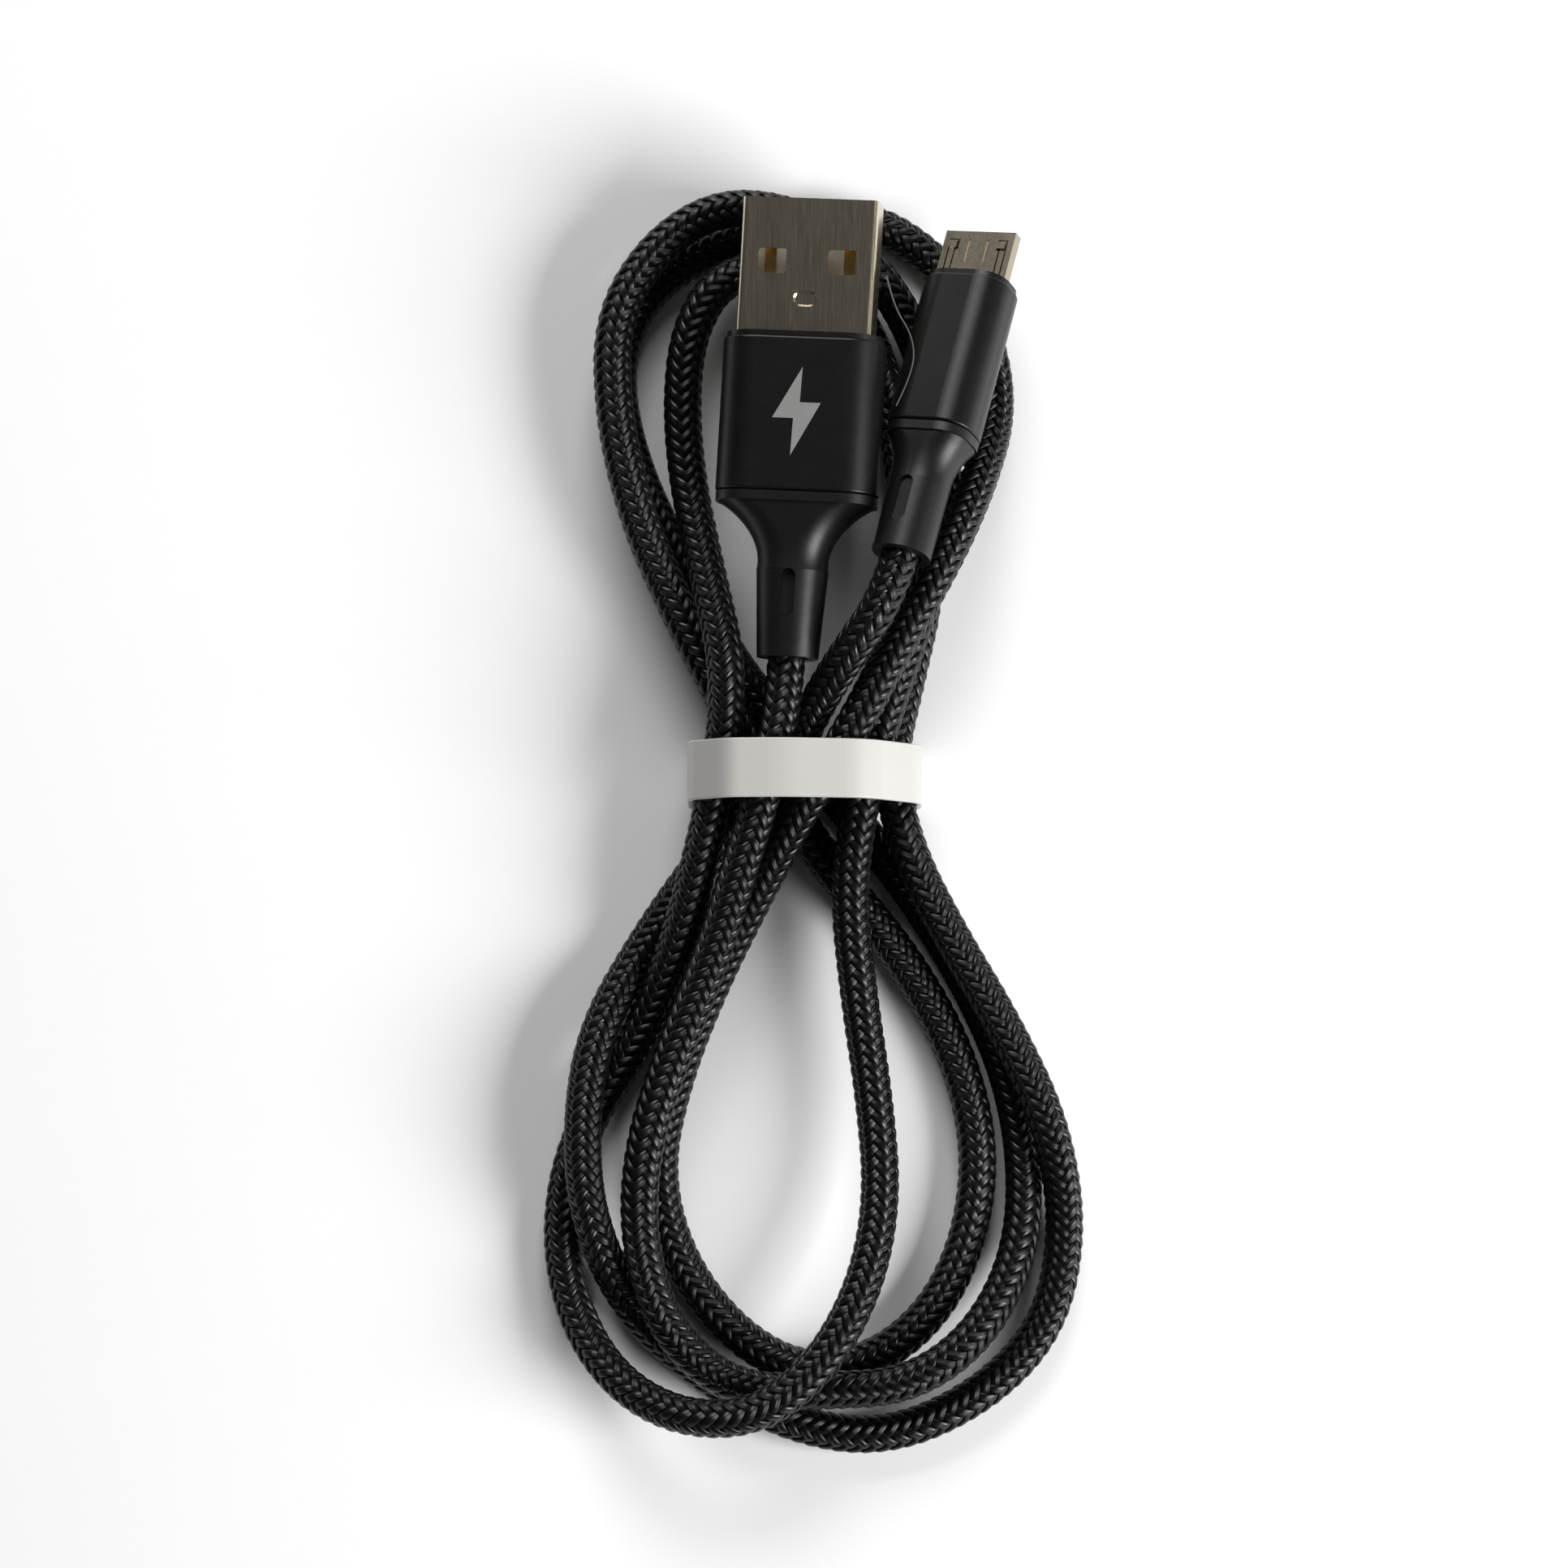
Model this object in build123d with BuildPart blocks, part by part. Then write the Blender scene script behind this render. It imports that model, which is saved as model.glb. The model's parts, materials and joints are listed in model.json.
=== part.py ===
"""Braided charging cable, wound into a tied hank: a USB-A plug, a micro-USB plug and the cord between them.

Millimetres. The hank lies on the plane Z=0, +Y along its length towards the plugs' noses, +Z up.
Each plug is built along its own axis, from the tail of its boot (height 0) to its nose.
"""

import os
from math import cos, pi, radians, sin, tan

from build123d import *

# Driving dimensions: the cord
CORD_DIA = 3.4
CORD_RADIUS = CORD_DIA / 2
CORD_PLAY = 0.1  # between the cord and the bore of a boot
CORD_IN_BOOT = 5.0  # length of braided cord inside each boot
JACKET_RADIUS = 1.3  # inner jacket, where the braid is cut back
JACKET_LENGTH = 7.5

# Driving dimensions: the USB-A plug (boot, collar, sleeve, bezel, shell along its axis)
A_TAIL = (-2.1, 13.4, 9.7)
A_YAW, A_PITCH, A_ROLL = 3.3, 1.3, 7.0
A_NECK_LENGTH = 7.6
A_NECK_TAIL_WIDTH, A_NECK_WIDTH = 5.4, 6.3
A_FLARE_LENGTH = 5.9
A_COLLAR_LENGTH = 0.8
A_BODY_WIDTH, A_BODY_HEIGHT, A_BODY_CORNER = 14.3, 7.3, 3.2
A_SLEEVE_LENGTH = 13.5
A_SHELL_WIDTH, A_SHELL_HEIGHT, A_SHELL_CORNER = 12.0, 4.5, 0.6
A_SHELL_WALL = 0.3
A_SHELL_EXPOSED = 11.9
A_SHELL_BURIED = 6.5
A_WINDOW_WIDTH, A_WINDOW_LENGTH, A_WINDOW_X, A_WINDOW_FROM_TIP = 2.5, 2.2, 3.1, 5.6
A_WINDOW_CORNER = 0.3
A_DIMPLE_LENGTH, A_DIMPLE_WIDTH, A_DIMPLE_DEPTH, A_DIMPLE_FROM_TIP = 2.1, 1.4, 0.18, 8.9
A_PUNCH_RADIUS, A_PUNCH_DEPTH, A_PUNCH_X, A_PUNCH_FROM_TIP = 0.14, 0.12, 3.7, 2.0
A_SEAM_WIDTH = 0.08  # the shell's folded joint, underneath
A_TONGUE_INSET = 0.4  # of the tongue's nose from the shell's tip
A_TONGUE_HEIGHT = 1.9
A_CONTACT_X = (-3.5, -1.0, 1.0, 3.5)
A_CONTACT_WIDTH, A_CONTACT_INSET = 1.0, 1.4
A_WIRE_RADIUS = 0.4
A_MOULD_NECK_RADIUS = 2.3

# Driving dimensions: the micro-USB plug
M_TAIL = (7.8, 22.0, 13.0)
M_YAW, M_PITCH, M_ROLL = 14.5, -13.2, 28.0
M_NECK_LENGTH = 6.6
M_NECK_TAIL_WIDTH, M_NECK_WIDTH = 5.2, 5.4
M_FLARE_LENGTH = 4.3
M_COLLAR_LENGTH = 0.8
M_BODY_WIDTH, M_BODY_HEIGHT, M_BODY_CORNER = 8.2, 6.3, 2.6
M_SLEEVE_LENGTH = 14.3
M_SHELL_TOP_WIDTH, M_SHELL_BASE_WIDTH, M_SHELL_HEIGHT = 6.85, 5.4, 1.8
M_SHELL_WALL = 0.25
M_SHELL_EXPOSED = 4.7
M_SHELL_BURIED = 5.0
M_CONTACT_X = (-1.3, -0.65, 0.0, 0.65, 1.3)
M_CONTACT_WIDTH, M_CONTACT_INSET = 0.35, 0.8
M_WIRE_RADIUS = 0.28
M_GROOVE_X, M_GROOVE_WIDTH, M_GROOVE_DEPTH = 0.9, 0.22, 0.12
M_GROOVE_LENGTH, M_GROOVE_FROM_TIP = 2.2, 0.8
M_SIDE_DROP = 0.15  # from the middle of the shell to the top of its cut lower corners
M_MOULD_NECK_RADIUS = 2.1

# The spring latches of the micro-USB plug
LATCH_X = 2.5
LATCH_WIDTH = 0.5
LATCH_THICKNESS = 0.4
LATCH_LENGTH = 3.3
LATCH_FROM_TIP = 0.9
LATCH_TOOTH_LENGTH, LATCH_TOOTH_WIDTH, LATCH_TOOTH_PROUD = 0.8, 0.75, 0.2
LATCH_PLAY = 0.12

# Shared plug details
SLEEVE_WALL = 0.5
SEAM_GAP = 0.12  # the fine line between collar and sleeve
BEZEL_LENGTH, BEZEL_PROUD, BEZEL_INSET = 1.6, 0.5, 0.25
MOULD_PLAY = 0.04
CHAMBER_WALL = 0.6  # between the inner mould's tail face and its hollow for the wires
CHAMBER_SIDE, CHAMBER_ROOF = 0.8, 0.9  # the inner mould's walls beside and above that hollow
CRIMP_LENGTH, CRIMP_WALL = 1.8, 0.3
NECK_FLATNESS, NECK_ROUNDING = 0.96, 0.47  # a neck's height and its corners, as shares of its width
FLARE_STATIONS = ((0.0, 0.0), (0.32, 0.03), (0.62, 0.27))  # share of the flare, share of its spread
FLARE_EDGE, COLLAR_EDGE = 0.25, 0.06  # insets of the flare's wide end and of the collar from the sleeve
SLOT_WIDTH, SLOT_LENGTH, SLOT_FLOOR = 1.3, 4.2, 0.15  # the floor is what is left over the mould's neck

# The tie band: its strip, and the inner outline of its ring as X, Z and the radius of the corner there
BAND_Y, BAND_WIDTH, BAND_THICKNESS = 3.6, 5.2, 0.5
BAND_RIM = 0.3  # easing of the strip's edges, as a share of its thickness
BAND_OUTLINE = [
    (-10.35, 0.5, 1.4), (9.25, 0.5, 1.4), (9.25, 6.0, 2.8), (4.7, 10.8, 5.0), (-2.4, 11.9, 12.0),
    (-7.2, 11.6, 3.0), (-10.35, 9.2, 1.5),
]


def plug_plane(tail, yaw, pitch, roll):
    """Return the plane at a plug's tail: its normal runs to the nose, its Y axis is the plug's upper side."""
    nose = Vector(
        sin(radians(yaw)) * cos(radians(pitch)), cos(radians(yaw)) * cos(radians(pitch)), sin(radians(pitch))
    )
    level_left = Vector(-cos(radians(yaw)), sin(radians(yaw)), 0)
    upper = nose.cross(level_left)
    left = level_left * cos(radians(roll)) - upper * sin(radians(roll))
    return Plane(origin=tail, x_dir=left, z_dir=nose)


A = plug_plane(A_TAIL, A_YAW, A_PITCH, A_ROLL)
M = plug_plane(M_TAIL, M_YAW, M_PITCH, M_ROLL)


def on_axis(plane, height):
    """Return the point of a plug's axis at a height above its tail, as a tuple."""
    point = plane.origin + plane.z_dir * height
    return (point.X, point.Y, point.Z)


def keep(part, label):
    """Label a finished piece and write it as its own STEP file."""
    part.label = label
    export_step(part, f"parts/{label}.step")
    return part


os.makedirs("parts", exist_ok=True)

# The cord's route, from inside the USB-A boot to inside the micro-USB boot
CORD_ROUTE = [
    on_axis(A, CORD_IN_BOOT), on_axis(A, -3.5),
    # down through the tie, round the bottom to the right, and back up to the tie
    (-3.9, 2.8, 9.7), (-6.3, -5.0, 8.7), (-8.9, -13.0, 6.6), (-12.2, -21.0, 5.3), (-14.8, -29.0, 5.3),
    (-15.2, -37.2, 5.3), (-12.8, -45.0, 5.3), (-7.0, -50.3, 5.3), (0.8, -50.3, 5.3), (8.4, -49.9, 5.3),
    (14.4, -45.8, 5.3), (18.2, -38.8, 3.4), (18.9, -30.6, 1.8), (17.4, -22.2, 1.8), (13.6, -13.8, 1.8),
    (8.4, -5.6, 1.8), (3.0, 0.8, 2.4),
    # up the left side, over the top and down the right side into the tie
    (-2.2, 7.6, 2.4), (-8.0, 15.4, 1.8), (-12.0, 23.4, 1.8), (-16.0, 31.8, 1.8), (-17.6, 40.2, 1.8),
    (-15.4, 46.6, 1.8), (-10.2, 50.8, 1.8), (-2.6, 53.3, 1.8), (4.6, 54.2, 1.8), (10.8, 50.5, 1.8),
    (15.3, 44.4, 1.8), (16.8, 36.8, 2.2), (14.8, 29.4, 6.7), (11.7, 22.2, 9.3), (7.4, 14.7, 9.2),
    (3.6, 7.2, 9.0), (-1.0, 0.4, 6.6),
    # the smallest bottom loop
    (-5.1, -7.0, 2.6), (-8.9, -14.6, 1.8), (-12.1, -22.8, 1.8), (-13.8, -31.0, 1.8), (-11.8, -38.8, 1.8),
    (-6.9, -45.3, 1.8), (-0.8, -48.7, 1.8), (5.6, -47.6, 1.8), (10.8, -43.4, 1.8), (14.0, -36.8, 1.8),
    (14.9, -28.6, 1.8), (12.7, -20.2, 1.8), (8.3, -12.4, 1.8), (2.4, -5.2, 1.8), (-2.0, 1.0, 2.4),
    # up the left side again, over the first turn, and down the right side
    (-5.2, 5.6, 3.1), (-7.9, 10.8, 5.0), (-11.6, 17.8, 5.4), (-15.4, 26.4, 5.3), (-17.5, 35.4, 5.3),
    (-17.7, 44.2, 5.3), (-13.9, 50.7, 5.3), (-8.2, 54.4, 5.3), (-1.7, 53.8, 5.3), (4.6, 50.0, 5.3),
    (9.2, 43.8, 2.4), (11.3, 36.0, 1.8), (12.0, 27.6, 4.8), (9.7, 18.8, 5.6), (6.8, 10.4, 5.7),
    # across the middle of the lower half and over the bottom loops to the far left
    (4.4, 2.0, 6.0), (3.2, -6.6, 5.4), (4.1, -15.6, 5.3), (5.5, -24.8, 5.3), (6.2, -33.6, 6.4),
    (4.6, -41.6, 8.4), (0.6, -48.6, 9.0), (-4.8, -52.7, 9.0), (-11.2, -52.8, 8.2), (-16.8, -49.8, 5.6),
    (-20.7, -44.0, 2.6), (-22.2, -36.2, 1.8), (-20.6, -27.8, 1.8), (-15.1, -19.2, 2.2), (-11.9, -12.0, 5.0),
    (-9.7, -4.0, 7.3),
    # the innermost top loop
    (-7.8, 4.4, 7.6), (-7.2, 12.8, 9.0), (-9.2, 21.4, 7.2), (-11.0, 30.0, 5.3), (-11.5, 37.2, 5.0),
    (-10.8, 43.2, 5.0), (-8.2, 47.8, 4.8), (-3.2, 49.6, 2.6), (2.0, 48.2, 1.8), (5.4, 43.0, 1.8),
    (7.2, 36.6, 1.8), (8.4, 29.0, 1.8), (10.4, 21.0, 1.8), (8.6, 13.0, 1.8), (6.7, 4.8, 2.4),
    # the outermost bottom loop, back up to the tie and out to the micro-USB plug
    (8.4, -3.2, 5.8), (12.1, -10.4, 5.5), (16.9, -18.4, 5.4), (21.0, -27.0, 5.3), (22.6, -36.0, 2.0),
    (20.8, -44.8, 1.8), (14.6, -51.0, 1.8), (6.2, -54.5, 1.8), (-2.2, -53.1, 1.8), (-9.8, -48.6, 1.8),
    (-16.0, -43.0, 1.9), (-19.6, -35.4, 5.3), (-20.2, -26.8, 5.5), (-18.9, -18.6, 4.3), (-14.3, -10.4, 1.8),
    (-9.6, -3.8, 2.8), (-5.2, 1.2, 6.0), (-1.8, 5.2, 6.4), (0.5, 9.7, 7.6), (3.2, 13.7, 11.6),
    on_axis(M, -3.5), on_axis(M, CORD_IN_BOOT),
]


def bend_radii(route):
    """Return the arc radius at each inner point of a route: 0.45 of the shorter run over tan(half the turn)."""
    points = [Vector(*p) for p in route]
    radii = []
    for before, here, after in zip(points, points[1:], points[2:]):
        turn = radians((here - before).get_angle(after - here))
        radii.append(0.45 * min((here - before).length, (after - here).length) / tan(turn / 2))
    return radii


radii = bend_radii(CORD_ROUTE)
print("bend radii:", " ".join(f"{r:.1f}" for r in radii))

with BuildPart() as braided_cord:
    with BuildLine() as cord_path:
        FilletPolyline(*CORD_ROUTE, radius=radii)
    with BuildSketch(Plane(origin=CORD_ROUTE[0], z_dir=-A.z_dir)):
        Circle(CORD_RADIUS)
    sweep()
keep(braided_cord.part, "braided_cord")
cord_length = sum(edge.length for edge in cord_path.edges())
cord_from_volume = braided_cord.part.volume / (pi * CORD_RADIUS**2)
print(f"cord length {cord_length:.1f}, from its volume {cord_from_volume:.1f}")

band_points = [(x, z) for x, z, corner in BAND_OUTLINE]
band_corners = [corner for x, z, corner in BAND_OUTLINE]
with BuildPart() as tie_band:
    with BuildSketch(Plane(origin=(0, BAND_Y, 0), x_dir=(1, 0, 0), z_dir=(0, -1, 0))):
        with BuildLine():
            FilletPolyline(*band_points, radius=band_corners, close=True)
        make_face()
        offset(amount=BAND_THICKNESS)
        with BuildLine():
            FilletPolyline(*band_points, radius=band_corners, close=True)
        make_face(mode=Mode.SUBTRACT)
    extrude(amount=BAND_WIDTH / 2, both=True)
    rims = tie_band.faces().filter_by(Axis.Y).edges()
    fillet(rims, BAND_THICKNESS * BAND_RIM)
keep(tie_band.part, "tie_band")

# Heights along each plug's axis
A_FLARE_START = A_NECK_LENGTH
A_COLLAR_START = A_FLARE_START + A_FLARE_LENGTH
A_BOOT_END = A_COLLAR_START + A_COLLAR_LENGTH
A_SLEEVE_START = A_BOOT_END + SEAM_GAP
A_SLEEVE_END = A_SLEEVE_START + A_SLEEVE_LENGTH
A_TIP = A_SLEEVE_END + BEZEL_PROUD + A_SHELL_EXPOSED
A_SHELL_START = A_SLEEVE_END + BEZEL_PROUD - A_SHELL_BURIED
A_MOULD_END = A_SLEEVE_END + BEZEL_PROUD - BEZEL_LENGTH
M_COLLAR_START = M_NECK_LENGTH + M_FLARE_LENGTH
M_BOOT_END = M_COLLAR_START + M_COLLAR_LENGTH
M_SLEEVE_START = M_BOOT_END + SEAM_GAP
M_SLEEVE_END = M_SLEEVE_START + M_SLEEVE_LENGTH
M_TIP = M_SLEEVE_END + BEZEL_PROUD + M_SHELL_EXPOSED
M_SHELL_START = M_SLEEVE_END + BEZEL_PROUD - M_SHELL_BURIED
M_MOULD_END = M_SLEEVE_END + BEZEL_PROUD - BEZEL_LENGTH
JACKET_END = CORD_IN_BOOT + JACKET_LENGTH


def side_plane(plane, height, level):
    """Return a plane that faces out of a plug's upper side, at a height along it and a level above its axis."""
    centre = plane.origin + plane.z_dir * height + plane.y_dir * level
    return Plane(origin=centre, x_dir=plane.x_dir, z_dir=plane.y_dir)


def boot(plane, name, neck_tail, neck_width, neck_length, flare_length, end, width, height, corner, bore):
    """Make a moulded boot: a slotted neck, a flare, a collar, and the bore for cord and inner mould."""
    collar_start = neck_length + flare_length
    with BuildPart() as piece:
        for level, size in ((0, neck_tail), (neck_length, neck_width)):
            with BuildSketch(plane.offset(level)):
                RectangleRounded(size, size * NECK_FLATNESS, size * NECK_ROUNDING)
        loft()
        for share, spread in FLARE_STATIONS:
            wide = neck_width + spread * (width - neck_width)
            high = neck_width * NECK_FLATNESS + spread * (height - neck_width * NECK_FLATNESS)
            with BuildSketch(plane.offset(neck_length + share * flare_length)):
                RectangleRounded(wide, high, min(wide, high) * NECK_ROUNDING)
        with BuildSketch(plane.offset(collar_start)):
            RectangleRounded(width - 2 * FLARE_EDGE, height - 2 * FLARE_EDGE, corner - FLARE_EDGE)
        loft()
        with BuildSketch(plane.offset(collar_start)):
            RectangleRounded(width - 2 * COLLAR_EDGE, height - 2 * COLLAR_EDGE, corner - COLLAR_EDGE)
        extrude(amount=end - collar_start)
        with BuildSketch(plane):
            Circle(CORD_RADIUS + CORD_PLAY)
        extrude(amount=CORD_IN_BOOT, mode=Mode.SUBTRACT)
        with BuildSketch(plane.offset(CORD_IN_BOOT)):
            Circle(bore)
        extrude(amount=end - CORD_IN_BOOT, mode=Mode.SUBTRACT)
        for side in (-1, 1):
            floor = side_plane(plane, neck_length - SLOT_LENGTH / 2, side * (bore + SLOT_FLOOR))
            with BuildSketch(floor):
                SlotOverall(SLOT_LENGTH, SLOT_WIDTH, rotation=90)
            extrude(amount=side * neck_width, mode=Mode.SUBTRACT)
    keep(piece.part, name)


def sleeve(plane, name, start, length, width, height, corner):
    """Make a drawn aluminium sleeve, its edges eased."""
    with BuildPart() as piece:
        with BuildSketch(plane.offset(start)):
            RectangleRounded(width, height, corner)
            RectangleRounded(
                width - 2 * SLEEVE_WALL, height - 2 * SLEEVE_WALL, corner - SLEEVE_WALL, mode=Mode.SUBTRACT
            )
        extrude(amount=length)
        ends = piece.faces().filter_by(lambda face: abs(face.normal_at().dot(plane.z_dir)) > 0.999)
        rims = [edge for end in ends for edge in end.outer_wire().edges()]
        fillet(rims, SLEEVE_WALL * 0.4)
    keep(piece.part, name)


def inner_mould(plane, name, boot_end, start, end, shell_start, width, height, corner, neck_radius, pocket):
    """Make the inner mould: its neck in the boot, its body in the sleeve, hollow round wires and shell."""
    inside = MOULD_PLAY + SLEEVE_WALL
    chamber_start = start + CHAMBER_WALL
    with BuildPart() as piece:
        with BuildSketch(plane.offset(CORD_IN_BOOT)):
            Circle(neck_radius - MOULD_PLAY)
        extrude(amount=start - CORD_IN_BOOT)
        with BuildSketch(plane.offset(start)):
            RectangleRounded(width - 2 * inside, height - 2 * inside, corner - inside)
        extrude(amount=end - start)
        with BuildSketch(plane.offset(CORD_IN_BOOT)):
            Circle(JACKET_RADIUS)
        extrude(amount=JACKET_LENGTH, mode=Mode.SUBTRACT)
        with BuildSketch(plane.offset(JACKET_END - CRIMP_LENGTH)):
            Circle(JACKET_RADIUS + CRIMP_WALL)
        extrude(amount=chamber_start - JACKET_END + CRIMP_LENGTH, mode=Mode.SUBTRACT)
        with BuildSketch(plane.offset(chamber_start)):
            Rectangle(width - 2 * (inside + CHAMBER_SIDE), height - 2 * (inside + CHAMBER_ROOF))
        extrude(amount=shell_start - chamber_start, mode=Mode.SUBTRACT)
        with BuildSketch(plane.offset(shell_start)):
            pocket()
        extrude(amount=end - shell_start, mode=Mode.SUBTRACT)
    keep(piece.part, name)


def bezel(plane, name, start, width, height, corner, pocket):
    """Make the black front bezel that closes the sleeve round the shell."""
    inside = MOULD_PLAY + SLEEVE_WALL
    with BuildPart() as piece:
        with BuildSketch(plane.offset(start)):
            RectangleRounded(width - 2 * inside, height - 2 * inside, corner - inside)
        extrude(amount=BEZEL_LENGTH - BEZEL_PROUD)
        with BuildSketch(plane.offset(start + BEZEL_LENGTH - BEZEL_PROUD + MOULD_PLAY)):
            RectangleRounded(width - 2 * BEZEL_INSET, height - 2 * BEZEL_INSET, corner - BEZEL_INSET)
        extrude(amount=BEZEL_PROUD - MOULD_PLAY)
        with BuildSketch(plane.offset(start + BEZEL_LENGTH - BEZEL_PROUD)):
            RectangleRounded(width - 2 * inside, height - 2 * inside, corner - inside)
        extrude(amount=MOULD_PLAY)
        with BuildSketch(plane.offset(start)):
            pocket()
        extrude(amount=BEZEL_LENGTH, mode=Mode.SUBTRACT)
    keep(piece.part, name)


def jacket_and_crimp(plane, prefix):
    """Make the stripped end of the inner jacket and the steel clamp crimped round it."""
    with BuildPart() as jacket:
        with BuildSketch(plane.offset(CORD_IN_BOOT)):
            Circle(JACKET_RADIUS)
        extrude(amount=JACKET_LENGTH)
    keep(jacket.part, f"{prefix}_jacket_end")
    with BuildPart() as clamp:
        with BuildSketch(plane.offset(JACKET_END - CRIMP_LENGTH)):
            Circle(JACKET_RADIUS + CRIMP_WALL - MOULD_PLAY)
            Circle(JACKET_RADIUS, mode=Mode.SUBTRACT)
        extrude(amount=CRIMP_LENGTH)
    keep(clamp.part, f"{prefix}_crimp_clamp")


def wires(plane, prefix, pins, chamber_start, tail_height, level, radius):
    """Make the four coloured wires from the jacket's end through the chamber to the contact tails."""
    spread = radius * 1.6
    lay = ((-spread, 0), (0, spread), (0, -spread), (spread, 0))
    for colour, pin, (x, y) in zip(("red", "white", "green", "black"), pins, lay):
        bend = max(chamber_start, JACKET_END) + 0.6
        stations = ((x, y, JACKET_END), (x, y, bend), (pin, level, tail_height - 2), (pin, level, tail_height))
        points = [plane.from_local_coords(Vector(*p)) for p in stations]
        with BuildPart() as wire:
            with BuildLine():
                FilletPolyline(*points, radius=2 * radius)
            with BuildSketch(plane.offset(JACKET_END)):
                with Locations((x, y)):
                    Circle(radius)
            sweep()
        keep(wire.part, f"{prefix}_wire_{colour}")


def contact_set(plane, prefix, pins, width, thickness, level, tail, tips):
    """Make the gilt contact strips and the solder joint on the tail of each one."""
    with BuildPart() as strips:
        with BuildSketch(plane.offset(tail)):
            with Locations(*[(x, level + thickness / 2) for x in pins]):
                Rectangle(width, thickness)
        extrude(amount=tips - tail)
    keep(strips.part, f"{prefix}_contacts")
    with BuildPart() as joints:
        with BuildSketch(plane.offset(tail + 0.1)):
            with Locations(*[(x, level + thickness + width * 0.25) for x in pins]):
                RectangleRounded(width * 0.9, width * 0.5, width * 0.2)
        extrude(amount=1.0)
    keep(joints.part, f"{prefix}_solder_joints")


# USB-A plug


def a_pocket():
    """Draw the outline of the USB-A shell."""
    RectangleRounded(A_SHELL_WIDTH, A_SHELL_HEIGHT, A_SHELL_CORNER)


boot(A, "usb_a_boot", A_NECK_TAIL_WIDTH, A_NECK_WIDTH, A_NECK_LENGTH, A_FLARE_LENGTH, A_BOOT_END,
     A_BODY_WIDTH, A_BODY_HEIGHT, A_BODY_CORNER, A_MOULD_NECK_RADIUS)
sleeve(A, "usb_a_sleeve", A_SLEEVE_START, A_SLEEVE_LENGTH, A_BODY_WIDTH, A_BODY_HEIGHT, A_BODY_CORNER)
inner_mould(A, "usb_a_inner_mould", A_BOOT_END, A_SLEEVE_START, A_MOULD_END, A_SHELL_START,
            A_BODY_WIDTH, A_BODY_HEIGHT, A_BODY_CORNER, A_MOULD_NECK_RADIUS, a_pocket)
bezel(A, "usb_a_bezel", A_MOULD_END, A_BODY_WIDTH, A_BODY_HEIGHT, A_BODY_CORNER, a_pocket)

with BuildPart() as usb_a_shell:
    with BuildSketch(A.offset(A_SHELL_START)):
        a_pocket()
        RectangleRounded(
            A_SHELL_WIDTH - 2 * A_SHELL_WALL, A_SHELL_HEIGHT - 2 * A_SHELL_WALL,
            A_SHELL_CORNER - A_SHELL_WALL, mode=Mode.SUBTRACT,
        )
    extrude(amount=A_TIP - A_SHELL_START)
    with BuildSketch(side_plane(A, A_TIP - A_WINDOW_FROM_TIP, 0)):
        with Locations((-A_WINDOW_X, 0), (A_WINDOW_X, 0)):
            RectangleRounded(A_WINDOW_WIDTH, A_WINDOW_LENGTH, A_WINDOW_CORNER)
    extrude(amount=A_SHELL_HEIGHT, both=True, mode=Mode.SUBTRACT)
    with BuildSketch(side_plane(A, A_TIP - A_DIMPLE_FROM_TIP, A_SHELL_HEIGHT / 2)):
        SlotOverall(A_DIMPLE_LENGTH, A_DIMPLE_WIDTH)
    extrude(amount=-A_DIMPLE_DEPTH, taper=45, mode=Mode.SUBTRACT)
    with BuildSketch(side_plane(A, A_TIP - A_PUNCH_FROM_TIP, A_SHELL_HEIGHT / 2)):
        with Locations((-A_PUNCH_X, 0), (A_PUNCH_X, 0)):
            Circle(A_PUNCH_RADIUS)
    extrude(amount=-A_PUNCH_DEPTH, mode=Mode.SUBTRACT)
    with BuildSketch(A.offset(A_SHELL_START)):
        with Locations((0, -A_SHELL_HEIGHT / 2)):
            Rectangle(A_SEAM_WIDTH, A_SHELL_WALL)
    extrude(amount=A_TIP - A_SHELL_START, mode=Mode.SUBTRACT)
keep(usb_a_shell.part, "usb_a_shell")

A_INNER_WIDTH = A_SHELL_WIDTH - 2 * A_SHELL_WALL - A_SHELL_CORNER * 0.6
A_FLOOR = -A_SHELL_HEIGHT / 2 + A_SHELL_WALL + MOULD_PLAY
A_CONTACT_LEVEL = A_FLOOR + A_TONGUE_HEIGHT
A_CONTACT_THICKNESS = 0.2
with BuildPart() as usb_a_tongue:
    with BuildSketch(A.offset(A_SHELL_START)):
        with Locations((0, A_FLOOR + A_TONGUE_HEIGHT / 2)):
            Rectangle(A_INNER_WIDTH, A_TONGUE_HEIGHT)
    extrude(amount=A_TIP - A_SHELL_START - A_TONGUE_INSET)
keep(usb_a_tongue.part, "usb_a_tongue")
A_TAIL_HEIGHT = A_SHELL_START - 1.6
contact_set(A, "usb_a", A_CONTACT_X, A_CONTACT_WIDTH, A_CONTACT_THICKNESS, A_CONTACT_LEVEL,
            A_TAIL_HEIGHT, A_TIP - A_CONTACT_INSET)
wires(A, "usb_a", A_CONTACT_X, A_SLEEVE_START + CHAMBER_WALL, A_TAIL_HEIGHT,
      A_CONTACT_LEVEL + 0.3, A_WIRE_RADIUS)
jacket_and_crimp(A, "usb_a")

with BuildPart() as usb_a_rear_block:
    block_floor = A_CONTACT_LEVEL + A_CONTACT_THICKNESS
    block_roof = A_SHELL_HEIGHT / 2 - A_SHELL_WALL - MOULD_PLAY
    with BuildSketch(A.offset(A_SHELL_START)):
        with Locations((0, (block_floor + block_roof) / 2)):
            Rectangle(A_INNER_WIDTH, block_roof - block_floor)
    extrude(amount=A_SHELL_BURIED)
keep(usb_a_rear_block.part, "usb_a_rear_block")

# Micro-USB plug


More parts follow.
